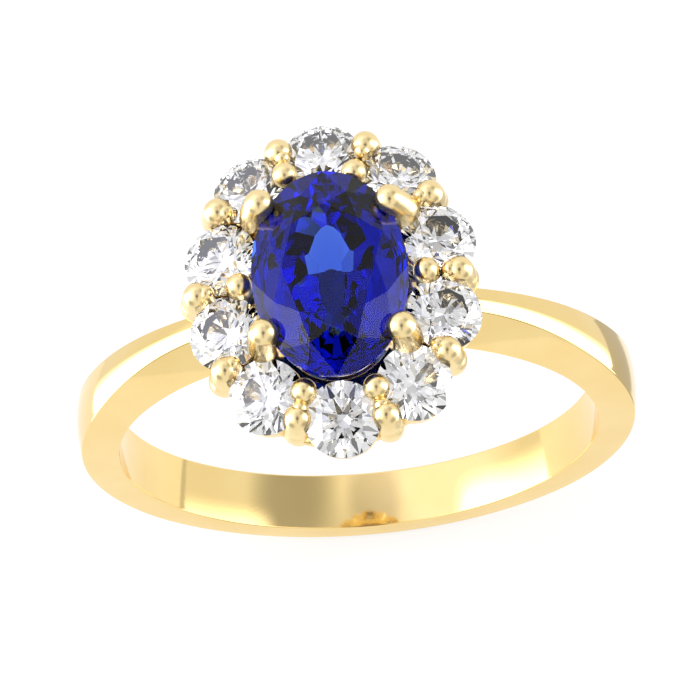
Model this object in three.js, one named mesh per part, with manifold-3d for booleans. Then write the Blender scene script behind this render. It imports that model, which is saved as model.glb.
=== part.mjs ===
// Engagement ring: an oval sapphire in a four-claw basket, ringed by ten round brilliants that
// share their claws, on a tapered yellow gold shank.
//
// Frame: millimetres. +Z points from the finger to the head, Y runs along the finger, and the
// origin is the centre of the finger hole.
import * as THREE from "three";
import { mergeVertices } from "three/addons/utils/BufferGeometryUtils.js";
import Module from "manifold-3d";

const wasm = await Module();
wasm.setup();

// ---------------------------------------------------------------- driving dimensions

const FINGER_R = 8.65; // US size 7
const GAP = 0.03; // left between pieces that touch

// Shank, at evenly spaced stations from the head (first value) to the bottom (last value).
const SHANK_THICKNESS = [1.85, 1.8, 1.4, 1.34, 1.14, 0.91, 0.84];
const SHANK_TOP_HALF_WIDTH = [0.42, 0.46, 0.8, 1.04, 1.07, 1.07, 1.07];
const SHANK_BORE_HALF_WIDTH = [1.07, 1.13, 1.16, 1.13, 1.07, 1.07, 1.07];
const SHANK_CROWN = 0.1; // how far the outer face bulges in the middle
const SHANK_EDGE = 0.1; // chamfer on the edges
const SHANK_STEPS = 72;

// Sapphire: oval brilliant.
const SAPPHIRE_HALF_WIDTH = 2.75; // along X
const SAPPHIRE_HALF_LENGTH = 3.87; // along Y
const SAPPHIRE_Z = 12.84; // girdle plane
const SAPPHIRE = {
  table: 0.57,
  starLength: 0.5,
  lowerLength: 0.75,
  crownAngle: 35,
  pavilionAngle: 40.5,
  girdle: 0.05,
  sides: 32,
};

// Diamonds: round brilliants on an oval, tilted outwards.
const DIAMOND_R = 1.35;
const DIAMOND_Z = 11.65; // centre of each girdle
const DIAMOND_TILT = 18; // degrees
const DIAMOND_SPIN = 13; // each stone is turned this much further about its own axis, in degrees
const DIAMOND = {
  table: 0.56,
  starLength: 0.5,
  lowerLength: 0.77,
  crownAngle: 34.5,
  pavilionAngle: 40.8,
  girdle: 0.045,
  sides: 16,
};
// Centres in one quadrant: on the long axis, beside it, and beside the short axis.
const HALO_END_Y = 5.03;
const HALO_CORNER = [2.61, 3.92];
const HALO_SIDE = [3.84, 1.4];

// Claws. An offset is measured outwards from the middle of the line between two diamonds. The beads
// were set by hand, so the outer ones (ten, clockwise from the +Y end) and the inner ones (six, the
// same way round) each stand a little differently.
const OUTER_CLAW = { radius: 0.4, bead: 0.46, bendOffset: 0.66, bendZ: 10.75, topZ: 11.72 };
const OUTER_CLAW_OFFSETS = [0.76, 0.64, 0.7, 0.66, 0.66, 0.6, 0.76, 0.9, 0.78, 0.77];
const INNER_CLAW = { radius: 0.29, bead: 0.4, topZ: 12.08 };
const INNER_CLAW_OFFSETS = [-0.47, -0.5, -0.36, -0.42, -0.56, -0.3];
const CENTRE_CLAW = { radius: 0.4, bead: 0.5, kneeOffset: -0.6, kneeZ: 12.85, tipZ: 13.22 };
const CENTRE_CLAW_OFFSET = -0.84;
const CLAW_SIDES = 8;
const CLAW_STEPS = 4;

// Rails and gallery, as ovals of X half-width and Y half-length.
const SADDLE_Z = 9.62; // flat on top of the shank that carries both rails
const RAIL_HEIGHT = 0.62;
const HALO_RAIL = { inner: [3.05, 4.0], outer: [3.68, 4.63] };
const BASKET_RAIL = { inner: [2.1, 2.8], outer: [2.72, 3.42] };
const GALLERY_BAND = { inner: [2.4, 3.3], outer: [4.75, 5.8], z: 10.72, height: 0.42 };
const COLLET = { radius: 1.33, top: 0.2, height: 0.62, hole: 0.72 };
const OVAL_SIDES = 40;
const COLLET_SIDES = 20;

// ---------------------------------------------------------------- materials

const gold = new THREE.MeshStandardMaterial({ color: 0xe9c46f, roughness: 0.12, metalness: 1 });
const sapphireBlue = new THREE.MeshStandardMaterial({ color: 0x1226b4, roughness: 0.02, metalness: 0 });
const diamondClear = new THREE.MeshStandardMaterial({ color: 0xf4f6fa, roughness: 0.02, metalness: 0 });

// ---------------------------------------------------------------- solids and booleans

// A closed geometry as a solid that can be cut and joined.
function solid(geometry) {
  const bare = new THREE.BufferGeometry();
  bare.setAttribute("position", geometry.getAttribute("position").clone());
  bare.setIndex(geometry.index);
  const merged = mergeVertices(bare, 1e-5);
  return new wasm.Manifold(
    new wasm.Mesh({
      numProp: 3,
      vertProperties: merged.attributes.position.array,
      triVerts: new Uint32Array(merged.index.array),
    }),
  );
}

// A solid as a named mesh.
function piece(name, shape, material) {
  const { numProp, vertProperties, triVerts } = shape.getMesh();
  const geometry = new THREE.BufferGeometry();
  const buffer = new THREE.InterleavedBuffer(vertProperties, numProp);
  geometry.setAttribute("position", new THREE.InterleavedBufferAttribute(buffer, 3, 0));
  geometry.setIndex(new THREE.BufferAttribute(triVerts, 1));
  const flat = geometry.toNonIndexed();
  flat.computeVertexNormals();
  const mesh = new THREE.Mesh(flat, material);
  mesh.name = name;
  return mesh;
}

function placed(shape, matrix) {
  return shape.transform(matrix.elements);
}

function cutAll(shape, cutters) {
  return cutters.reduce((left, cutter) => left.subtract(cutter), shape);
}

// ---------------------------------------------------------------- stones

const polar = (radius, degrees, z) => {
  const angle = THREE.MathUtils.degToRad(degrees);
  return new THREE.Vector3(radius * Math.cos(angle), radius * Math.sin(angle), z);
};

// The facet planes of a round brilliant of radius 1, each as three points on the facet.
function brilliantFacets({ table, starLength, lowerLength, crownAngle, pavilionAngle, girdle }) {
  const half = girdle / 2;
  const crownSlope = Math.tan(THREE.MathUtils.degToRad(crownAngle));
  const pavilionSlope = Math.tan(THREE.MathUtils.degToRad(pavilionAngle));
  const between = Math.cos(Math.PI / 8); // a point midway between two main facets
  const tableZ = half + (1 - table) * crownSlope;
  const starR = table * between + starLength * (1 - table * between);
  const starZ = half + (1 - starR * between) * crownSlope;
  const lowerR = 1 - lowerLength;
  const lowerZ = -half - (1 - lowerR * between) * pavilionSlope;
  const culetZ = -half - pavilionSlope;
  const facets = [[polar(1, 0, tableZ), polar(1, 120, tableZ), polar(1, 240, tableZ)]];
  for (let main = 0; main < 360; main += 45) {
    const star = main + 22.5;
    facets.push(
      [polar(1, main, half), polar(starR, star, starZ), polar(starR, main - 22.5, starZ)],
      [polar(table, main, tableZ), polar(table, main + 45, tableZ), polar(starR, star, starZ)],
      [polar(1, main, half), polar(1, star, half), polar(starR, star, starZ)],
      [polar(1, star, half), polar(1, main + 45, half), polar(starR, star, starZ)],
      [polar(1, main, -half), polar(lowerR, star, lowerZ), polar(lowerR, main - 22.5, lowerZ)],
      [polar(1, main, -half), polar(1, star, -half), polar(lowerR, star, lowerZ)],
      [polar(1, star, -half), polar(1, main + 45, -half), polar(lowerR, star, lowerZ)],
    );
  }
  return { facets, tableZ, culetZ };
}

// Cuts a blank facet by facet, as on a lap: each cutter is a box laid against the facet's plane.
function brilliant(cut, halfWidth, halfLength) {
  const { facets, tableZ, culetZ } = brilliantFacets(cut);
  const scale = new THREE.Vector3(halfWidth, halfLength, halfWidth);
  const blank = new THREE.CylinderGeometry(1, 1, tableZ - culetZ + 0.2, cut.sides, 1);
  blank.rotateX(Math.PI / 2).rotateZ(Math.PI / 2);
  blank.translate(0, 0, (tableZ + culetZ) / 2).scale(...scale.toArray());
  const size = 6 * halfLength;
  const cutters = facets.map((points) => {
    const plane = new THREE.Plane().setFromCoplanarPoints(...points.map((p) => p.clone().multiply(scale)));
    if (plane.constant > 0) plane.negate();
    const box = new THREE.BoxGeometry(size, size, size).translate(0, 0, size / 2);
    const turn = new THREE.Quaternion().setFromUnitVectors(new THREE.Vector3(0, 0, 1), plane.normal);
    const foot = plane.normal.clone().multiplyScalar(-plane.constant);
    return solid(box.applyQuaternion(turn).translate(...foot.toArray()));
  });
  return cutAll(solid(blank), cutters);
}

// ---------------------------------------------------------------- halo layout

// Diamond centres clockwise from the +Y end, seen from above.
const quadrant = [[0, HALO_END_Y], HALO_CORNER, HALO_SIDE];
const mirrored = (signX, signY, order) => order.map((i) => [signX * quadrant[i][0], signY * quadrant[i][1]]);
const haloCentres = [
  ...mirrored(1, 1, [0, 1, 2]),
  ...mirrored(1, -1, [2, 1, 0]),
  ...mirrored(-1, -1, [1, 2]),
  ...mirrored(-1, 1, [2, 1]),
].map(([x, y]) => new THREE.Vector2(x, y));

// Outward direction of the sapphire's girdle where it is nearest to a point.
function outwards(point) {
  let best = null;
  for (let i = 0; i < 720; i++) {
    const angle = (i * Math.PI) / 360;
    const onGirdle = new THREE.Vector2(
      SAPPHIRE_HALF_WIDTH * Math.cos(angle),
      SAPPHIRE_HALF_LENGTH * Math.sin(angle),
    );
    const distance = onGirdle.distanceTo(point);
    if (best === null || distance < best.distance) best = { distance, angle };
  }
  return new THREE.Vector2(
    Math.cos(best.angle) / SAPPHIRE_HALF_WIDTH,
    Math.sin(best.angle) / SAPPHIRE_HALF_LENGTH,
  ).normalize();
}

// Where each diamond sits: its axis leans outwards, and it is turned about that axis.
const diamondSeats = haloCentres.map((centre, i) => {
  const out = outwards(centre);
  const tilt = THREE.MathUtils.degToRad(DIAMOND_TILT);
  const axis = new THREE.Vector3(out.x * Math.sin(tilt), out.y * Math.sin(tilt), Math.cos(tilt));
  const lean = new THREE.Quaternion().setFromUnitVectors(new THREE.Vector3(0, 0, 1), axis);
  const spin = new THREE.Quaternion().setFromAxisAngle(
    new THREE.Vector3(0, 0, 1),
    THREE.MathUtils.degToRad(DIAMOND_SPIN * i),
  );
  const position = new THREE.Vector3(centre.x, centre.y, DIAMOND_Z);
  return new THREE.Matrix4().compose(position, lean.multiply(spin), new THREE.Vector3(1, 1, 1));
});

// The gap between each diamond and the next: its middle, and the direction outwards.
const gaps = haloCentres.map((from, i) => {
  const to = haloCentres[(i + 1) % haloCentres.length];
  const along = to.clone().sub(from).normalize();
  return { middle: from.clone().add(to).multiplyScalar(0.5), out: new THREE.Vector2(-along.y, along.x) };
});

const inGap = ({ middle, out }, offset, z) =>
  new THREE.Vector3(middle.x + out.x * offset, middle.y + out.y * offset, z);

// ---------------------------------------------------------------- metalwork

function ovalPoints([halfWidth, halfLength]) {
  return new THREE.EllipseCurve(0, 0, halfWidth, halfLength).getPoints(OVAL_SIDES).slice(0, -1);
}

// A flat oval ring standing on z.
function ovalRing({ inner, outer }, z, height) {
  const outline = new THREE.Shape(ovalPoints(outer));
  outline.holes.push(new THREE.Path(ovalPoints(inner)));
  return solid(new THREE.ExtrudeGeometry(outline, { depth: height, bevelEnabled: false }).translate(0, 0, z));
}

function ovalBlock(outer, z, height) {
  const outline = new THREE.Shape(ovalPoints(outer));
  return solid(new THREE.ExtrudeGeometry(outline, { depth: height, bevelEnabled: false }).translate(0, 0, z));
}

// A round wire along a curve from its foot, with a bead on its end. `grow` makes the cutter of its socket.
function wireClaw(points, radius, bead, grow = 0) {
  const path = new THREE.CatmullRomCurve3(points);
  const foot = points[0].clone().addScaledVector(path.getTangent(0), -grow);
  const section = new THREE.Shape(
    new THREE.EllipseCurve(0, 0, radius + grow, radius + grow).getPoints(CLAW_SIDES).slice(0, -1),
  );
  const shaft = new THREE.ExtrudeGeometry(section, {
    steps: CLAW_STEPS,
    bevelEnabled: false,
    extrudePath: new THREE.CatmullRomCurve3([foot, ...points.slice(1)]),
  });
  const top = points.at(-1);
  const ball = new THREE.SphereGeometry(bead + grow, CLAW_SIDES, 6).rotateX(Math.PI / 2);
  ball.translate(top.x, top.y, top.z);
  return solid(shaft).add(solid(ball));
}

// The point of an oval rail's centreline nearest to a gap, at height z.
function railPoint({ inner, outer }, gap, z) {
  const centreline = ovalPoints([(inner[0] + outer[0]) / 2, (inner[1] + outer[1]) / 2]);
  const nearest = centreline.reduce((a, b) =>
    a.distanceTo(gap.middle) < b.distanceTo(gap.middle) ? a : b,
  );
  return new THREE.Vector3(nearest.x, nearest.y, z);
}

const footZ = SADDLE_Z + GAP + RAIL_HEIGHT / 2;

function outerClaw(gap, offset, grow) {
  const { radius, bead, bendOffset, bendZ, topZ } = OUTER_CLAW;
  const points = [railPoint(HALO_RAIL, gap, footZ), inGap(gap, bendOffset, bendZ), inGap(gap, offset, topZ)];
  return wireClaw(points, radius, bead, grow);
}

function innerClaw(gap, offset, grow) {
  const { radius, bead, topZ } = INNER_CLAW;
  const standZ = GALLERY_BAND.z + GALLERY_BAND.height + GAP;
  const points = [standZ, (standZ + topZ) / 2, topZ].map((z) => inGap(gap, offset, z));
  return wireClaw(points, radius, bead, grow);
}

function centreClaw(gap, offset, grow) {
  const { radius, bead, kneeOffset, kneeZ, tipZ } = CENTRE_CLAW;
  const points = [railPoint(BASKET_RAIL, gap, footZ), inGap(gap, kneeOffset, kneeZ), inGap(gap, offset, tipZ)];
  return wireClaw(points, radius, bead, grow);
}

// One station value, between evenly spaced stations from the head (0) to the bottom (180 degrees).
function station(values, degrees) {
  const curve = new THREE.SplineCurve(values.map((value, i) => new THREE.Vector2(i, value)));
  return curve.getPoint(degrees / 180).y;
}

// The shank starts as a lathed ring whose radius (1 to 2) and width (-1 to 1) are only fractions,
// and each point is then moved to the thickness and width of its station.
function shank() {
  const edge = SHANK_EDGE;
  const section = [
    [1, -1 + edge],
    [1, 1 - edge],
    [1 + edge, 1],
    [2 - edge, 1],
    [2, 1 - 2 * edge],
    [2, 0],
    [2, -1 + 2 * edge],
    [2 - edge, -1],
    [1 + edge, -1],
    [1, -1 + edge],
  ].map(([across, along]) => new THREE.Vector2(across, along));
  const ring = new THREE.LatheGeometry(section.reverse(), SHANK_STEPS);
  const points = ring.getAttribute("position");
  const at = new THREE.Vector3();
  for (let i = 0; i < points.count; i++) {
    at.fromBufferAttribute(points, i);
    const outer = Math.hypot(at.x, at.z) - 1;
    const angle = Math.atan2(at.x, at.z);
    const degrees = Math.abs(THREE.MathUtils.radToDeg(angle));
    const crown = SHANK_CROWN * outer * (1 - at.y * at.y);
    const radius = FINGER_R + outer * station(SHANK_THICKNESS, degrees) + crown;
    const boreHalfWidth = station(SHANK_BORE_HALF_WIDTH, degrees);
    const topHalfWidth = station(SHANK_TOP_HALF_WIDTH, degrees);
    const halfWidth = THREE.MathUtils.lerp(boreHalfWidth, topHalfWidth, outer);
    points.setXYZ(i, radius * Math.sin(angle), at.y * halfWidth, radius * Math.cos(angle));
  }
  return solid(ring);
}

// Ten collets under the diamonds, joined by an oval band.
function gallery() {
  const { radius, top, height } = COLLET;
  let shape = ovalRing(GALLERY_BAND, GALLERY_BAND.z, GALLERY_BAND.height);
  for (const seat of diamondSeats) {
    const collet = new THREE.CylinderGeometry(radius, radius, height, COLLET_SIDES).rotateX(Math.PI / 2);
    shape = shape.add(placed(solid(collet.translate(0, 0, -top - height / 2)), seat));
  }
  const holes = diamondSeats.map((seat) => {
    const drill = new THREE.CylinderGeometry(COLLET.hole, COLLET.hole, 4, COLLET_SIDES).rotateX(Math.PI / 2);
    return placed(solid(drill), seat);
  });
  return cutAll(shape, holes);
}

// ---------------------------------------------------------------- assembly

const ring = new THREE.Group();
const sapphire = brilliant(SAPPHIRE, SAPPHIRE_HALF_WIDTH, SAPPHIRE_HALF_LENGTH);
const diamond = brilliant(DIAMOND, DIAMOND_R, DIAMOND_R);

// The room that a stone's seat leaves round it: a lathed girdle, crown and pavilion, GAP larger all over.
function roomFor(cut, halfWidth, halfLength, sides) {
  const { tableZ, culetZ } = brilliantFacets(cut);
  const half = cut.girdle / 2;
  const profile = [
    [0, culetZ],
    [1, -half],
    [1, half],
    [cut.table, tableZ],
    [0, tableZ],
  ].map(([radius, z]) => new THREE.Vector2(radius, z));
  const room = new THREE.LatheGeometry(profile, sides).rotateX(Math.PI / 2);
  const turn = Math.PI / sides;
  const grow = 1 / Math.cos(turn) + (GAP * 1.5) / halfWidth;
  return solid(room.scale(halfWidth * grow, halfLength * grow, halfWidth * grow));
}

const sapphireRoom = roomFor(SAPPHIRE, SAPPHIRE_HALF_WIDTH, SAPPHIRE_HALF_LENGTH, 32).translate(0, 0, SAPPHIRE_Z);
const diamondRoom = roomFor(DIAMOND, DIAMOND_R, DIAMOND_R, COLLET_SIDES);
const diamondRooms = diamondSeats.map((seat) => placed(diamondRoom, seat));
const stoneRooms = [sapphireRoom, ...diamondRooms];

// Gaps 2, 4, 7 and 9 hold the sapphire's claws; the other six hold a small inner claw.
const centreGaps = [1, 3, 6, 8].map((i) => gaps[i]);
const innerGaps = gaps.filter((gap) => !centreGaps.includes(gap));
const claws = [
  ...gaps.map((gap, i) => ["outer_claw_" + (i + 1), outerClaw, gap, OUTER_CLAW_OFFSETS[i]]),
  ...innerGaps.map((gap, i) => ["inner_claw_" + (i + 1), innerClaw, gap, INNER_CLAW_OFFSETS[i]]),
  ...centreGaps.map((gap, i) => ["centre_claw_" + (i + 1), centreClaw, gap, CENTRE_CLAW_OFFSET]),
];
const clawSockets = claws.map(([, make, gap, offset]) => make(gap, offset, GAP));
const saddle = ovalBlock(
  HALO_RAIL.outer.map((half) => half + GAP),
  SADDLE_Z,
  5,
);
const railZ = SADDLE_Z + GAP;

ring.add(piece("shank", shank().subtract(saddle), gold));
ring.add(piece("halo_rail", cutAll(ovalRing(HALO_RAIL, railZ, RAIL_HEIGHT), clawSockets), gold));
ring.add(piece("basket_rail", cutAll(ovalRing(BASKET_RAIL, railZ, RAIL_HEIGHT), clawSockets), gold));
ring.add(piece("halo_gallery", cutAll(gallery(), [...stoneRooms, ...clawSockets]), gold));
for (const [name, make, gap, offset] of claws) {
  ring.add(piece(name, cutAll(make(gap, offset, 0), stoneRooms), gold));
}
ring.add(piece("sapphire", sapphire.translate(0, 0, SAPPHIRE_Z), sapphireBlue));
diamondSeats.forEach((seat, i) => {
  ring.add(piece("diamond_" + (i + 1), placed(diamond, seat), diamondClear));
});

export default ring;
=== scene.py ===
"""Looks of the engagement ring: polished yellow gold, an oval sapphire and ten round brilliants.

Everything is in metres, in the frame of the CAD model: +Z from the finger to the head, Y along the
finger, and the origin at the centre of the finger hole. Sizes are given in millimetres times MM.
"""
from math import cos, degrees, pi, radians, sin, tan

import bmesh
import bpy
from mathutils import Matrix, Quaternion, Vector


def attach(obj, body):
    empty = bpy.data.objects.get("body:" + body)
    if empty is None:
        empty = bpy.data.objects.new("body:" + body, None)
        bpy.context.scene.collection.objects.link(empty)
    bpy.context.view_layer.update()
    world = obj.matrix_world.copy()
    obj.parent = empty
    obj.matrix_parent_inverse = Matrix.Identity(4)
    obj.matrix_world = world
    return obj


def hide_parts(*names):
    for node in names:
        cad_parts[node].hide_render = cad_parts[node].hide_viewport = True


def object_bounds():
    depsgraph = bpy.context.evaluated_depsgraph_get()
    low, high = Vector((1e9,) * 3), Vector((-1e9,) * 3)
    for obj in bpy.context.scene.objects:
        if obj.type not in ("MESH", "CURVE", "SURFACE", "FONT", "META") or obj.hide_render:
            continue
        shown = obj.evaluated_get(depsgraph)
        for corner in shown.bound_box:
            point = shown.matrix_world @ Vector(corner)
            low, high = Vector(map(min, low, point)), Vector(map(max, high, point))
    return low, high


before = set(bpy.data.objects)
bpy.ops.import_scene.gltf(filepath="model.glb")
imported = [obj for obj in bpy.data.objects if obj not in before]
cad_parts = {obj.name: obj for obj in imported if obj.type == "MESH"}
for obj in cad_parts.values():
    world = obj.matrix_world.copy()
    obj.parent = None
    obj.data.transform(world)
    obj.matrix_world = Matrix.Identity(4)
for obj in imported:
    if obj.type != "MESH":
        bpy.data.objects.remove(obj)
cad_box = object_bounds()

MM = 0.001
UP = Vector((0, 0, 1))

# ---------------------------------------------------------------- the ring's driving sizes, in mm

FINGER_R = 8.65

# Shank stations, evenly spaced from the head to the bottom.
SHANK_THICKNESS = [1.85, 1.8, 1.4, 1.34, 1.14, 0.91, 0.84]
SHANK_TOP_HALF_WIDTH = [0.42, 0.46, 0.8, 1.04, 1.07, 1.07, 1.07]
SHANK_BORE_HALF_WIDTH = [1.07, 1.13, 1.16, 1.13, 1.07, 1.07, 1.07]
SHANK_CROWN = 0.1
BORE_EDGE = 0.06  # radius of the rounded edges at the finger
TOP_EDGE = 0.07  # radius of the rounded edges outside
SADDLE_Z = 9.62
SOLDER_GAP = 0.03

SAPPHIRE_HALF_WIDTH = 2.75
SAPPHIRE_HALF_LENGTH = 3.87
SAPPHIRE_Z = 12.84
SAPPHIRE_GIRDLE = 0.05
SAPPHIRE_CROWN = dict(table=0.6, star=0.5, crown=35, girdle=SAPPHIRE_GIRDLE)
# Ovals where the pavilion's tiers of facets meet: half width, half length and depth below the girdle.
SAPPHIRE_TIERS = [(2.75, 3.87, 0), (1.7, 2.7, 1.5), (0.9, 2.15, 2.1), (0.45, 1.2, 2.4), (0, 0, 2.58)]
TIER_FACETS = 16

DIAMOND_R = 1.35
DIAMOND_Z = 11.65
DIAMOND_TILT = 18  # degrees outwards
DIAMOND_SPIN = 13  # degrees more for each diamond along the halo
DIAMOND_CROWN = dict(table=0.56, star=0.5, crown=34.5, girdle=0.045)
DIAMOND_PAVILION = dict(lower=0.77, pavilion=40.8, girdle=0.045)
HALO_END_Y = 5.03
HALO_CORNER = (2.61, 3.92)
HALO_SIDE = (3.84, 1.4)

# Rails and gallery: inner and outer ovals, each a half width and a half length.
RAIL_Z = SADDLE_Z + SOLDER_GAP
RAIL_HEIGHT = 0.62
RAIL_EDGE = 0.14
HALO_RAIL = ((3.05, 4.0), (3.68, 4.63))
BASKET_RAIL = ((2.1, 2.8), (2.72, 3.42))
GALLERY_BAND = ((2.4, 3.3), (4.75, 5.8))
GALLERY_Z = 10.72
GALLERY_HEIGHT = 0.42
GALLERY_EDGE = 0.1
GALLERY_VOXEL = 0.055
COLLET_R = 1.33
COLLET_TOP = -0.2
COLLET_FOOT = -0.82
AZURE_R = 0.72

# Where each claw stands: outwards from the middle of its gap, and clockwise along the halo.
OUTER_CLAWS = [(0.77, -0.05), (0.6, -0.2), (0.66, -0.1), (0.65, -0.08), (0.66, 0.03),
               (0.52, 0.07), (0.76, 0.15), (0.92, 0.05), (0.77, 0.2), (0.77, 0.09)]
INNER_CLAWS = [(-0.47, -0.02), (-0.5, -0.07), (-0.32, -0.1), (-0.42, 0.12), (-0.6, 0.15), (-0.25, -0.15)]
# The centre claws also lean: foot, then tip.
CENTRE_CLAWS = [((-0.62, 0.02), (-0.92, -0.22)), ((-0.82, 0.1), (-0.9, 0.12)),
                ((-0.84, 0.1), (-0.92, 0.12)), ((-0.72, 0.3), (-0.82, 0.48))]
# Heights and radii along each kind of claw, from foot to tip; a radius list that is one longer starts
# on the rail. A lean is how much further outwards a point lies than the claw's stand.
OUTER_POST_Z = [10.7, 11.3, 11.82]
OUTER_POST_LEAN = [0.02, 0.04, -0.02]
OUTER_POST_R = [0.42, 0.5, 0.52, 0.52, 0.5]
OUTER_LOBE_Z = [11.2, 11.6, 12.0]
OUTER_LOBE_LEAN = [-0.4, -0.4, -0.34]
OUTER_LOBE_R = [0.28, 0.3, 0.3]
INNER_POST_Z = [11.0, 11.6, 12.15]
INNER_POST_R = [0.36, 0.44, 0.48, 0.47]
CENTRE_FOOT_Z = [11.6, 12.4]
CENTRE_TIP_Z = 13.17
CENTRE_POST_R = [0.42, 0.5, 0.57, 0.57, 0.53]
SEAT_ROOM = 0.02  # all round a stone, where metal is cut away for it
CLAW_REACH = 2.4  # a claw is cut for the stones this close to its tip
WELD = 1e-8  # metres; points this close are one point
CREASE = radians(40)  # a sharper turn than this stays an edge on claws and gallery
SHANK_CREASE = radians(50)

# ---------------------------------------------------------------- colours

GOLD_DULL = (0.88, 0.65, 0.27)
GOLD_BRIGHT = (0.905, 0.685, 0.305)
# The claws' gold is the same gold painted paler and creamier: a painted highlight for the light the claws
# catch.
CLAW_LIGHTENED_DULL = (0.91, 0.71, 0.36)
CLAW_LIGHTENED_BRIGHT = (0.93, 0.74, 0.39)
SAPPHIRE_ABSORPTION = (0.02, 0.33, 0.86)
SAPPHIRE_IOR = 1.77
DIAMOND_IOR = 2.417

# ---------------------------------------------------------------- mesh helpers


def piece_from_bmesh(name, bm, material, node, smooth=True):
    """A finished piece that stands for a CAD node and rides on the ring's one body."""
    mesh = bpy.data.meshes.new(name)
    bmesh.ops.recalc_face_normals(bm, faces=bm.faces)
    bm.to_mesh(mesh)
    bm.free()
    mesh.materials.append(material)
    piece = bpy.data.objects.new(name, mesh)
    bpy.context.scene.collection.objects.link(piece)
    if smooth:
        mesh.shade_smooth()
    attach(piece, "root")
    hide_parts(node)
    return piece


def apply_modifiers(piece):
    evaluated = piece.evaluated_get(bpy.context.evaluated_depsgraph_get())
    mesh = bpy.data.meshes.new_from_object(evaluated)
    piece.modifiers.clear()
    piece.data = mesh


def loose_object(name, bm):
    """A helper object for a modifier, taken away again once it is used."""
    mesh = bpy.data.meshes.new(name)
    bmesh.ops.recalc_face_normals(bm, faces=bm.faces)
    bm.to_mesh(mesh)
    bm.free()
    made = bpy.data.objects.new(name, mesh)
    bpy.context.scene.collection.objects.link(made)
    return made


def combine(piece, others, operation):
    """Joins other objects to a piece or cuts them from it, and welds the points left double."""
    for other in others:
        step = piece.modifiers.new("combine", "BOOLEAN")
        step.object = other
        step.operation = operation
        step.solver = "EXACT"
    apply_modifiers(piece)
    bm = bmesh.new()
    bm.from_mesh(piece.data)
    bmesh.ops.remove_doubles(bm, verts=bm.verts, dist=WELD)
    bm.to_mesh(piece.data)
    bm.free()


def weighted_normals(piece):
    """Keeps broad faces flat and lets only the narrow rounded edges between them turn."""
    modifier = piece.modifiers.new("normals", "WEIGHTED_NORMAL")
    modifier.weight = 100
    apply_modifiers(piece)


def loft(rings, closed=True, caps=False):
    """Joins rings of points, each as long as the last, into a skin of quads."""
    bm = bmesh.new()
    rows = [[bm.verts.new(point) for point in ring] for ring in rings]
    count = len(rows[0])
    pairs = list(zip(rows, rows[1:])) + ([(rows[-1], rows[0])] if closed else [])
    for near, far in pairs:
        for i in range(count):
            j = (i + 1) % count
            bm.faces.new((near[i], near[j], far[j], far[i]))
    if caps:
        bm.faces.new(rows[0])
        bm.faces.new(rows[-1][::-1])
    return bm


def catmull(values, t):
    """The value at t from 0 to 1 along evenly spaced values."""
    span = t * (len(values) - 1)
    i = min(int(span), len(values) - 2)
    u = span - i
    a = values[max(i - 1, 0)]
    b = values[i]
    c = values[i + 1]
    d = values[min(i + 2, len(values) - 1)]
    return 0.5 * (2 * b + (c - a) * u + (2 * a - 5 * b + 4 * c - d) * u**2 + (3 * b - a - 3 * c + d) * u**3)


def rounded(corners, steps):
    """An outline with each corner (x, y, radius) replaced by an arc of steps + 1 points."""
    points = []
    for i, (x, y, radius) in enumerate(corners):
        corner = Vector((x, y))
        before = (Vector(corners[i - 1][:2]) - corner).normalized()
        after = (Vector(corners[(i + 1) % len(corners)][:2]) - corner).normalized()
        if radius == 0:
            points.append(corner)
            continue
        half = before.angle(after) / 2
        centre = corner + (before + after).normalized() * (radius / sin(half))
        start = corner + before * (radius / tan(half)) - centre
        end = corner + after * (radius / tan(half)) - centre
        for step in range(steps + 1):
            mix = start.lerp(end, step / steps).normalized()
            points.append(centre + mix * radius)
    return points


# ---------------------------------------------------------------- halo layout


def mirrored(sign_x, sign_y, order):
    """Diamond centres of one quadrant, in the given order."""
    quadrant = [(0, HALO_END_Y), HALO_CORNER, HALO_SIDE]
    return [Vector((sign_x * quadrant[i][0], sign_y * quadrant[i][1])) for i in order]


def outwards(point):
    """Outward direction of the sapphire's girdle where it is nearest to a point."""
    width, length = SAPPHIRE_HALF_WIDTH, SAPPHIRE_HALF_LENGTH
    half_degrees = [radians(i / 2) for i in range(720)]
    nearest = min(half_degrees, key=lambda a: (Vector((width * cos(a), length * sin(a))) - point).length)
    return Vector((cos(nearest) / width, sin(nearest) / length)).normalized()


# Ten centres, clockwise from the one at the +Y end.
halo_centres = mirrored(1, 1, [0, 1, 2]) + mirrored(1, -1, [2, 1, 0])
halo_centres += mirrored(-1, -1, [1, 2]) + mirrored(-1, 1, [2, 1])


def diamond_seat(i, centre):
    """Where a diamond sits, tilted outwards and turned a little more than the one before it."""
    out = outwards(centre)
    tilt = radians(DIAMOND_TILT)
    axis = Vector((out.x * sin(tilt), out.y * sin(tilt), cos(tilt)))
    lean = UP.rotation_difference(axis)
    spin = Quaternion(UP, radians(DIAMOND_SPIN * i))
    place = Matrix.Translation(Vector((centre.x, centre.y, DIAMOND_Z)) * MM)
    return place @ (lean @ spin).to_matrix().to_4x4()


diamond_seats = [diamond_seat(i, centre) for i, centre in enumerate(halo_centres)]


def gap_after(i):
    """The gap between a diamond and the next: its middle, and the direction outwards."""
    start = halo_centres[i]
    end = halo_centres[(i + 1) % len(halo_centres)]
    along = (end - start).normalized()
    return (start + end) / 2, Vector((-along.y, along.x))


# Four of the gaps hold the sapphire's claws, and the other six hold a small inner claw.
gaps = [gap_after(i) for i in range(len(halo_centres))]
centre_gaps = [gaps[i] for i in (1, 3, 6, 8)]
inner_gaps = [gap for gap in gaps if gap not in centre_gaps]


def in_gap(gap, stand, z, outer=0.0):
    """A point at height z in a gap, at a stand of (outwards, along), and further outwards if asked."""
    middle, out = gap
    spot = middle + out * (stand[0] + outer) + Vector((out.y, -out.x)) * stand[1]
    return Vector((spot.x, spot.y, z))


# ---------------------------------------------------------------- materials

# Noise scales, in waves per metre.
DRIFT_SCALE = 400.0
POLISH_SCALE = 9000.0
GROWTH_SCALE = 900.0


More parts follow.
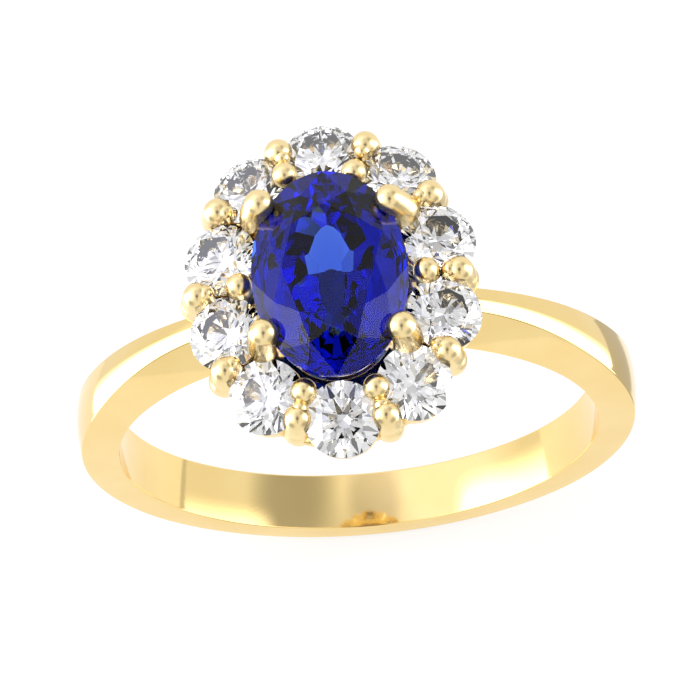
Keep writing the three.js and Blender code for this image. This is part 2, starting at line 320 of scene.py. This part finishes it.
def new_material(name):
    material = bpy.data.materials.new(name)
    material.use_nodes = True
    tree = material.node_tree
    return material, tree, tree.nodes["Principled BSDF"]


def add_node(tree, kind, settings=None, **inputs):
    """A node with its settings and inputs; an input that is a socket is linked."""
    made = tree.nodes.new(kind)
    for key, value in (settings or {}).items():
        setattr(made, key, value)
    for key, value in inputs.items():
        socket = made.inputs[key.replace("_", " ")] if isinstance(key, str) else made.inputs[key]
        if isinstance(value, bpy.types.NodeSocket):
            tree.links.new(value, socket)
        else:
            socket.default_value = value
    return made


def gold_material(name, dull, bright, roughness, bump_mm):
    """Polished yellow gold: fine polishing texture, and colour and gloss that drift slightly."""
    material, tree, shader = new_material(name)
    shader.inputs["Metallic"].default_value = 1.0
    place = add_node(tree, "ShaderNodeTexCoord").outputs["Object"]
    drift = add_node(tree, "ShaderNodeTexNoise", Vector=place, Scale=DRIFT_SCALE, Detail=3.0)
    tint = add_node(tree, "ShaderNodeValToRGB", Fac=drift.outputs["Fac"])
    tint.color_ramp.elements[0].position = 0.35
    tint.color_ramp.elements[0].color = (*dull, 1)
    tint.color_ramp.elements[1].position = 0.65
    tint.color_ramp.elements[1].color = (*bright, 1)
    tree.links.new(tint.outputs["Color"], shader.inputs["Base Color"])
    gloss = add_node(tree, "ShaderNodeMapRange", Value=drift.outputs["Fac"])
    gloss.inputs["To Min"].default_value = roughness * 0.7
    gloss.inputs["To Max"].default_value = roughness * 1.3
    tree.links.new(gloss.outputs["Result"], shader.inputs["Roughness"])
    polish = add_node(tree, "ShaderNodeTexNoise", Vector=place, Scale=POLISH_SCALE, Detail=4.0)
    bump = add_node(tree, "ShaderNodeBump", Height=polish.outputs["Fac"], Distance=bump_mm * MM)
    bump.inputs["Strength"].default_value = 1.0
    tree.links.new(bump.outputs["Normal"], shader.inputs["Normal"])
    return material


def gem_material(name, ior, glint, absorption=None, density=0.0):
    """A clear faceted stone with a faintly uneven polish; glint scales its surface reflections."""
    material, tree, shader = new_material(name)
    shader.inputs["Base Color"].default_value = (1, 1, 1, 1)
    shader.inputs["Specular Tint"].default_value = (glint, glint, glint, 1)
    shader.inputs["Transmission Weight"].default_value = 1.0
    shader.inputs["IOR"].default_value = ior
    place = add_node(tree, "ShaderNodeTexCoord").outputs["Object"]
    growth = add_node(tree, "ShaderNodeTexNoise", Vector=place, Scale=GROWTH_SCALE, Detail=2.0)
    gloss = add_node(tree, "ShaderNodeMapRange", Value=growth.outputs["Fac"], To_Min=0.0, To_Max=0.012)
    tree.links.new(gloss.outputs["Result"], shader.inputs["Roughness"])
    if absorption:
        volume = add_node(tree, "ShaderNodeVolumeAbsorption", Color=(*absorption, 1), Density=density)
        output = tree.nodes["Material Output"]
        tree.links.new(volume.outputs["Volume"], output.inputs["Volume"])
    return material


gold = gold_material("gold_polished", GOLD_DULL, GOLD_BRIGHT, roughness=0.07, bump_mm=0.0006)
# A paler copy of the gold for the claws, painted lighter to stand in for the light on them; also rougher.
gold_claw_painted_light = gold_material("gold_claw_painted_light", CLAW_LIGHTENED_DULL, CLAW_LIGHTENED_BRIGHT, roughness=0.23, bump_mm=0.001)
sapphire_blue = gem_material("sapphire_blue", SAPPHIRE_IOR, 0.3, SAPPHIRE_ABSORPTION, density=980.0)
diamond_clear = gem_material("diamond_clear", DIAMOND_IOR, 1.0)

# ---------------------------------------------------------------- stones


def polar(radius, angle, z):
    return Vector((radius * cos(radians(angle)), radius * sin(radians(angle)), z))


def crown_facets(table, star, crown, girdle):
    """Facet planes of a brilliant crown of radius 1, each as three points."""
    half = girdle / 2
    between = cos(pi / 8)
    table_z = half + (1 - table) * tan(radians(crown))
    star_r = table * between + star * (1 - table * between)
    star_z = half + (1 - star_r * between) * tan(radians(crown))
    facets = [(polar(1, 0, table_z), polar(1, 120, table_z), polar(1, 240, table_z))]
    for main in range(0, 360, 45):
        mid = main + 22.5
        star_tip = polar(star_r, mid, star_z)
        star_before = polar(star_r, main - 22.5, star_z)
        facets += [
            (polar(1, main, half), star_tip, star_before),
            (polar(table, main, table_z), polar(table, main + 45, table_z), star_tip),
            (polar(1, main, half), polar(1, mid, half), star_tip),
            (polar(1, mid, half), polar(1, main + 45, half), star_tip),
        ]
    return facets


def brilliant_pavilion(lower, pavilion, girdle):
    """Facet planes of a round brilliant's pavilion: eight mains and sixteen lower halves."""
    half = girdle / 2
    lower_r = 1 - lower
    lower_z = -half - (1 - lower_r * cos(pi / 8)) * tan(radians(pavilion))
    facets = []
    for main in range(0, 360, 45):
        mid = main + 22.5
        lower_tip = polar(lower_r, mid, lower_z)
        facets += [
            (polar(1, main, -half), lower_tip, polar(lower_r, main - 22.5, lower_z)),
            (polar(1, main, -half), polar(1, mid, -half), lower_tip),
            (polar(1, mid, -half), polar(1, main + 45, -half), lower_tip),
        ]
    return facets


def sapphire_pavilion():
    """Facet planes of the oval pavilion, cut in tiers, each tier flatter than the one above it."""
    width, length = SAPPHIRE_HALF_WIDTH, SAPPHIRE_HALF_LENGTH
    step = 360 / TIER_FACETS
    facets = []
    for i, (upper, lower) in enumerate(zip(SAPPHIRE_TIERS, SAPPHIRE_TIERS[1:])):
        turn = step / 2 * (i % 2)
        for k in range(TIER_FACETS):
            a = radians(turn + step * k)
            corners = [
                Vector((upper[0] * cos(a), upper[1] * sin(a), -upper[2])),
                Vector((upper[0] * (cos(a) - sin(a)), upper[1] * (sin(a) + cos(a)), -upper[2])),
                Vector((lower[0] * cos(a), lower[1] * sin(a), -lower[2])),
            ]
            half = SAPPHIRE_GIRDLE / 2
            facets.append([Vector((p.x / width, p.y / length, p.z / width - half)) for p in corners])
    return facets


def cut_stone(facets, half_width, half_length, sides):
    """Cuts an upright blank facet by facet, leaving each facet one flat polygon."""
    scale = Matrix.Diagonal((half_width * MM, half_length * MM, half_width * MM, 1))
    blank_ends = (-1.1, 0.5)
    rings = [[scale @ polar(1, 360 * i / sides, z) for i in range(sides)] for z in blank_ends]
    bm = loft(rings, closed=False, caps=True)
    for corners in facets:
        a, b, c = (scale @ corner for corner in corners)
        normal = (b - a).cross(c - a).normalized()
        if normal.dot(a) < 0:
            normal.negate()
        geometry = bm.verts[:] + bm.edges[:] + bm.faces[:]
        cut_edges = bmesh.ops.bisect_plane(bm, geom=geometry, plane_co=a, plane_no=normal, clear_outer=True)
        rim = [edge for edge in cut_edges["geom_cut"] if isinstance(edge, bmesh.types.BMEdge)]
        if rim:
            bmesh.ops.edgeloop_fill(bm, edges=rim)
    bmesh.ops.remove_doubles(bm, verts=bm.verts, dist=WELD)
    return bm


def cut_sapphire(extra=0.0):
    """The centre stone, or the room it needs with a little extra all round."""
    facets = crown_facets(**SAPPHIRE_CROWN) + sapphire_pavilion()
    bm = cut_stone(facets, SAPPHIRE_HALF_WIDTH + extra, SAPPHIRE_HALF_LENGTH + extra, sides=128)
    bm.transform(Matrix.Translation((0, 0, SAPPHIRE_Z * MM)))
    return bm


def cut_diamond(seat, extra=0.0):
    facets = crown_facets(**DIAMOND_CROWN) + brilliant_pavilion(**DIAMOND_PAVILION)
    bm = cut_stone(facets, DIAMOND_R + extra, DIAMOND_R + extra, sides=96)
    bm.transform(seat)
    return bm


def make_stones():
    piece_from_bmesh("cut_sapphire", cut_sapphire(), sapphire_blue, "sapphire", smooth=False)
    for i, seat in enumerate(diamond_seats):
        node = f"diamond_{i + 1}"
        piece_from_bmesh(f"cut_{node}", cut_diamond(seat), diamond_clear, node, smooth=False)


# ---------------------------------------------------------------- shank


def shank_section(angle):
    """The shank's outline across the band at an angle from the head, as (radius, along Y)."""
    t = abs(degrees(angle)) / 180
    outside = FINGER_R + catmull(SHANK_THICKNESS, t)
    top = catmull(SHANK_TOP_HALF_WIDTH, t)
    bore = catmull(SHANK_BORE_HALF_WIDTH, t)
    corners = [
        (FINGER_R, -bore, BORE_EDGE),
        (FINGER_R, bore, BORE_EDGE),
        (outside, top, TOP_EDGE),
        (outside, -top, TOP_EDGE),
    ]
    edge_steps = 5
    crown_steps = 14
    outline = rounded(corners, edge_steps)
    crown_at = 3 * (edge_steps + 1)  # the crown lies between the third rounded corner and the fourth
    start, end = outline[crown_at - 1], outline[crown_at]
    crown = []
    for step in range(1, crown_steps):
        y = start.y + (end.y - start.y) * step / crown_steps
        crown.append(Vector((start.x + SHANK_CROWN * (1 - (y / start.y) ** 2), y)))
    return outline[:crown_at] + crown + outline[crown_at:]


def oval(half_axes, z, sides):
    """Points round a level oval at height z."""
    a, b = half_axes
    return [Vector((a * cos(2 * pi * i / sides), b * sin(2 * pi * i / sides), z)) for i in range(sides)]


def make_shank():
    """The tapered band, cut flat under the head so that the rails can stand on it."""
    steps = 288
    rings = []
    for i in range(steps):
        angle = 2 * pi * (i + 0.5) / steps - pi
        rings.append([Vector((p.x * sin(angle), p.y, p.x * cos(angle))) * MM for p in shank_section(angle)])
    shank = piece_from_bmesh("shank_gold", loft(rings), gold, "shank")
    saddle_oval = [half + SOLDER_GAP for half in HALO_RAIL[1]]
    above_head = 14
    ends = [[p * MM for p in oval(saddle_oval, z, 96)] for z in (SADDLE_Z, above_head)]
    cutter = loose_object("saddle", loft(ends, closed=False, caps=True))
    combine(shank, [cutter], "DIFFERENCE")
    bpy.data.objects.remove(cutter)
    shank.data.set_sharp_from_angle(angle=SHANK_CREASE)
    weighted_normals(shank)


# ---------------------------------------------------------------- rails and gallery


def oval_ring(inner, outer, z, height, edge, sides=128):
    """A flat oval ring with rounded edges."""
    outline = rounded([(0, z, edge), (1, z, edge), (1, z + height, edge), (0, z + height, edge)], 4)
    rings = []
    for i in range(sides):
        a = 2 * pi * i / sides
        low = Vector((inner[0] * cos(a), inner[1] * sin(a)))
        high = Vector((outer[0] * cos(a), outer[1] * sin(a)))
        rings.append([Vector((*low.lerp(high, p.x), p.y)) * MM for p in outline])
    return loft(rings)


def make_rails():
    for name, rail in (("halo_rail", HALO_RAIL), ("basket_rail", BASKET_RAIL)):
        ring = oval_ring(*rail, RAIL_Z, RAIL_HEIGHT, RAIL_EDGE)
        piece_from_bmesh(name + "_gold", ring, gold, name)


def cylinder(radius, low, high, sides, seat):
    """A cylinder, in mm, about the axis of a seat."""
    ends = [[p * MM for p in oval((radius, radius), z, sides)] for z in (low, high)]
    bm = loft(ends, closed=False, caps=True)
    bm.transform(seat)
    return bm


def make_gallery(diamond_rooms):
    """An oval band with a collet under every diamond, blended like a casting, then cut for the stones
    and drilled through behind them."""
    merged = bmesh.new()
    parts = [oval_ring(*GALLERY_BAND, GALLERY_Z, GALLERY_HEIGHT, GALLERY_EDGE)]
    parts += [cylinder(COLLET_R, COLLET_FOOT, COLLET_TOP, 64, seat) for seat in diamond_seats]
    for part in parts:
        mesh = bpy.data.meshes.new("part")
        part.to_mesh(mesh)
        part.free()
        merged.from_mesh(mesh)
    gallery = piece_from_bmesh("halo_gallery_gold", merged, gold, "halo_gallery")
    blend = gallery.modifiers.new("blend", "REMESH")
    blend.mode = "VOXEL"
    blend.voxel_size = GALLERY_VOXEL * MM
    soften = gallery.modifiers.new("soften", "SMOOTH")
    soften.iterations = 6
    apply_modifiers(gallery)
    below, above = -3, 1
    azures = [loose_object("azure", cylinder(AZURE_R, below, above, 48, seat)) for seat in diamond_seats]
    combine(gallery, diamond_rooms + azures, "DIFFERENCE")
    for azure in azures:
        bpy.data.objects.remove(azure)
    gallery.data.shade_smooth()
    gallery.data.set_sharp_from_angle(angle=CREASE)


# ---------------------------------------------------------------- claws


def claw_mesh(points, radii, sides=28, steps=40):
    """A round wire along a smooth path, its radius given along it, with a domed end."""
    along = [i / steps for i in range(steps + 1)]
    path = [Vector([catmull([p[axis] for p in points], t) for axis in range(3)]) for t in along]
    widths = [catmull(radii, t) for t in along]
    tangent = (path[-1] - path[-2]).normalized()
    dome = widths[-1]
    dome_steps = 10
    for i in range(1, dome_steps):
        lift = i / dome_steps * pi / 2
        path.append(path[steps] + tangent * dome * sin(lift))
        widths.append(dome * cos(lift))
    side = None
    rings = []
    for i, (centre, width) in enumerate(zip(path, widths)):
        ahead = path[min(i + 1, len(path) - 1)] - path[max(i - 1, 0)]
        ahead.normalize()
        if side is None:
            side = ahead.orthogonal().normalized()
        side = (side - ahead * side.dot(ahead)).normalized()
        other = ahead.cross(side)
        rings.append([
            (centre + (side * cos(2 * pi * k / sides) + other * sin(2 * pi * k / sides)) * width) * MM
            for k in range(sides)
        ])
    return loft(rings, closed=False, caps=True)


def rail_foot(rail, gap):
    """Where a claw stands on a rail: the point of the rail's centreline nearest to the claw's gap."""
    inner, outer = rail
    centreline = ((inner[0] + outer[0]) / 2, (inner[1] + outer[1]) / 2)
    points = oval(centreline, RAIL_Z + RAIL_HEIGHT / 2, 360)
    return min(points, key=lambda p: (Vector((p.x, p.y)) - gap[0]).length)


def outer_claw(gap, stand):
    """A column outside the halo, and a lobe that reaches in over the two diamonds."""
    column = [in_gap(gap, stand, z, lean) for z, lean in zip(OUTER_POST_Z, OUTER_POST_LEAN)]
    lobe = [in_gap(gap, stand, z, lean) for z, lean in zip(OUTER_LOBE_Z, OUTER_LOBE_LEAN)]
    bodies = [claw_mesh([rail_foot(HALO_RAIL, gap)] + column, OUTER_POST_R), claw_mesh(lobe, OUTER_LOBE_R)]
    return bodies, column[-1]


def inner_claw(gap, stand):
    post = [in_gap(gap, stand, z) for z in INNER_POST_Z]
    return [claw_mesh(post, INNER_POST_R)], post[-1]


def centre_claw(gap, stand):
    foot, tip = stand
    post = [rail_foot(BASKET_RAIL, gap)] + [in_gap(gap, foot, z) for z in CENTRE_FOOT_Z]
    post.append(in_gap(gap, tip, CENTRE_TIP_Z))
    return [claw_mesh(post, CENTRE_POST_R)], post[-1]


def make_claws(rooms):
    kinds = [
        ("outer_claw", outer_claw, gaps, OUTER_CLAWS),
        ("inner_claw", inner_claw, inner_gaps, INNER_CLAWS),
        ("centre_claw", centre_claw, centre_gaps, CENTRE_CLAWS),
    ]
    for kind, shape, places, stands in kinds:
        for i, (gap, stand) in enumerate(zip(places, stands)):
            bodies, tip = shape(gap, stand)
            make_claw(f"{kind}_{i + 1}", bodies, tip, rooms)


def make_claw(node, bodies, tip, rooms):
    """A claw of one or two rounded bodies, notched for the stones it holds."""
    claw = piece_from_bmesh(node + "_gold", bodies[0], gold_claw_painted_light, node)
    for body in bodies[1:]:
        lobe = loose_object("lobe", body)
        combine(claw, [lobe], "UNION")
        bpy.data.objects.remove(lobe)
    near = [room for room, middle, size in rooms if (middle - tip * MM).length < CLAW_REACH * MM + size]
    combine(claw, near, "DIFFERENCE")
    claw.data.shade_smooth()
    claw.data.set_sharp_from_angle(angle=CREASE)


# ---------------------------------------------------------------- studio


def make_camera():
    """Above the ring and a little in front, with the ring upright and its head towards the lens."""
    right = Vector((0.99452, -0.07318, -0.07466))
    ahead = Vector((-0.0409, 0.3848, -0.92209))
    pose = Matrix((right, right.cross(ahead), -ahead)).transposed().to_4x4()
    pose.translation = Vector((14.7, -136.6, 333.1)) * MM
    lens = bpy.data.cameras.new("camera")
    lens.sensor_width = 36
    lens.lens = 514.3
    lens.clip_start = 0.02
    lens.clip_end = 5
    camera = bpy.data.objects.new("camera", lens)
    camera.matrix_world = pose
    bpy.context.scene.collection.objects.link(camera)
    bpy.context.scene.camera = camera


def make_floor():
    """A round of white paper, a hair below the ring, bright enough to leave only a faint shadow."""
    radius = 25.5 * MM
    clearance = 0.1 * MM
    bm = bmesh.new()
    bmesh.ops.create_circle(bm, cap_ends=True, segments=96, radius=radius)
    mesh = bpy.data.meshes.new("floor")
    bm.to_mesh(mesh)
    bm.free()
    floor = bpy.data.objects.new("floor", mesh)
    floor.location.z = cad_box[0][2] - clearance
    material, tree, shader = new_material("floor_white")
    shader.inputs["Base Color"].default_value = (0.3, 0.3, 0.3, 1)
    shader.inputs["Roughness"].default_value = 0.6
    shader.inputs["Emission Color"].default_value = (1, 1, 1, 1)
    place = add_node(tree, "ShaderNodeTexCoord").outputs["Object"]
    across = add_node(tree, "ShaderNodeSeparateXYZ", Vector=place)
    # Towards its right-hand edge the paper is out of the light.
    lit = add_node(
        tree,
        "ShaderNodeMapRange",
        {"interpolation_type": "SMOOTHSTEP"},
        Value=across.outputs["X"],
        From_Min=14.3 * MM,
        From_Max=15.8 * MM,
        To_Min=0.68,
        To_Max=0.2,
    )
    tree.links.new(lit.outputs["Result"], shader.inputs["Emission Strength"])
    mesh.materials.append(material)
    bpy.context.scene.collection.objects.link(floor)


def make_world():
    """A light tent: a softbox at each side, a panel overhead and a dark slit for the camera."""
    world = bpy.data.worlds.new("tent")
    bpy.context.scene.world = world
    world.use_nodes = True
    tree = world.node_tree
    background = tree.nodes["Background"]
    direction = add_node(tree, "ShaderNodeTexCoord").outputs["Generated"]

    def spot(axis, inner, outer):
        """1 within inner degrees of an axis, falling smoothly to 0 at outer degrees."""
        axis = Vector(axis).normalized()
        dot = add_node(tree, "ShaderNodeVectorMath", {"operation": "DOT_PRODUCT"})
        tree.links.new(direction, dot.inputs[0])
        dot.inputs[1].default_value = axis
        ramp = add_node(
            tree,
            "ShaderNodeMapRange",
            {"interpolation_type": "SMOOTHSTEP"},
            Value=dot.outputs["Value"],
            From_Min=cos(radians(outer)),
            From_Max=cos(radians(inner)),
        )
        return ramp.outputs["Result"]

    def add(total, mask, amount):
        made = add_node(tree, "ShaderNodeMath", {"operation": "MULTIPLY_ADD"})
        tree.links.new(mask, made.inputs[0])
        made.inputs[1].default_value = amount
        tree.links.new(total, made.inputs[2])
        return made.outputs["Value"]

    def scale_by(total, mask, amount):
        """Multiplies by an amount inside the mask."""
        ramp = add_node(tree, "ShaderNodeMapRange", Value=mask, To_Min=1.0, To_Max=amount)
        made = add_node(tree, "ShaderNodeMath", {"operation": "MULTIPLY"})
        tree.links.new(total, made.inputs[0])
        tree.links.new(ramp.outputs["Result"], made.inputs[1])
        return made.outputs["Value"]

    def strip(normal, inner, outer, shift=0.0):
        """1 within inner of a plane, as a sine, falling to 0 at outer; shift moves the plane."""
        dot = add_node(tree, "ShaderNodeVectorMath", {"operation": "DOT_PRODUCT"})
        tree.links.new(direction, dot.inputs[0])
        dot.inputs[1].default_value = normal
        off = add_node(tree, "ShaderNodeMath", {"operation": "SUBTRACT"})
        tree.links.new(dot.outputs["Value"], off.inputs[0])
        off.inputs[1].default_value = shift
        away = add_node(tree, "ShaderNodeMath", {"operation": "ABSOLUTE"})
        tree.links.new(off.outputs["Value"], away.inputs[0])
        ramp = add_node(
            tree,
            "ShaderNodeMapRange",
            {"interpolation_type": "SMOOTHSTEP"},
            Value=away.outputs["Value"],
            From_Min=outer,
            From_Max=inner,
        )
        return ramp.outputs["Result"]

    def both(one, other):
        made = add_node(tree, "ShaderNodeMath", {"operation": "MULTIPLY"})
        tree.links.new(one, made.inputs[0])
        tree.links.new(other, made.inputs[1])
        return made.outputs["Value"]

    # The tent's own brightness, and what each panel adds to it.
    base = add_node(tree, "ShaderNodeValue")
    base.outputs[0].default_value = 1.0
    total = base.outputs[0]
    overhead = spot((-0.5, 0.38, 0.78), 10, 50)
    left_box = both(spot((-1, 0, 0), 42, 52), strip((0, 1, 0), 0.28, 0.43))
    right_box = both(spot((1, 0, 0), 38, 48), strip((0, 1, 0), 0.2, 0.36))
    left_fill = spot((-0.75, -0.3, 0.6), 18, 32)
    for panel, amount in ((overhead, 0.4), (left_box, 2.7), (right_box, 2.7), (left_fill, 0.6)):
        total = add(total, panel, amount)

    # What dims it, and the share of light that is left: both sides of the low front edge, the roof,
    # the gap beside the right-hand box, the back of the roof, the camera's slit and its lens.
    low_front = both(spot((0, -1, 0), 56, 68), strip((0, 0, 1), 0.2, 0.42, -0.05))
    shades = [
        (both(low_front, spot((-1, -0.25, 0), 38, 62)), 0.5),
        (both(low_front, spot((1, -0.25, 0), 38, 62)), 0.5),
        (spot((0, 0, 1), 8, 30), 0.75),
        (spot((0.56, 0.385, 0.73), 6, 24), 0.5),
        (spot((-0.041, 0.385, 0.922), 6, 15), 0.7),
        (both(strip((1, 0, 0), 0.04, 0.16), spot((0.04, -0.5, 0.86), 20, 36)), 0.35),
        (spot((0.041, -0.379, 0.925), 8, 15), 0.06),
    ]
    for shade, left_over in shades:
        total = scale_by(total, shade, left_over)
    tree.links.new(total, background.inputs["Strength"])

    # The overhead panel is a little cooler than the tent.
    cool = add_node(tree, "ShaderNodeMapRange", Value=overhead, To_Min=1.0, To_Max=1.12)
    colour = add_node(tree, "ShaderNodeCombineColor", Red=1.0, Green=1.0, Blue=cool.outputs["Result"])
    tree.links.new(colour.outputs["Color"], background.inputs["Color"])


# ---------------------------------------------------------------- assembly

make_camera()
make_world()
make_floor()
make_stones()
make_shank()
make_rails()
diamond_rooms = [loose_object("room", cut_diamond(seat, SEAT_ROOM)) for seat in diamond_seats]
sapphire_room = loose_object("room", cut_sapphire(SEAT_ROOM))
make_gallery(diamond_rooms)
rooms = [(room, seat.translation, DIAMOND_R * MM) for room, seat in zip(diamond_rooms, diamond_seats)]
rooms.append((sapphire_room, Vector((0, 0, SAPPHIRE_Z * MM)), SAPPHIRE_HALF_LENGTH * MM))
make_claws(rooms)
for room in diamond_rooms + [sapphire_room]:
    bpy.data.objects.remove(room)
bpy.context.scene.view_settings.view_transform = "Standard"
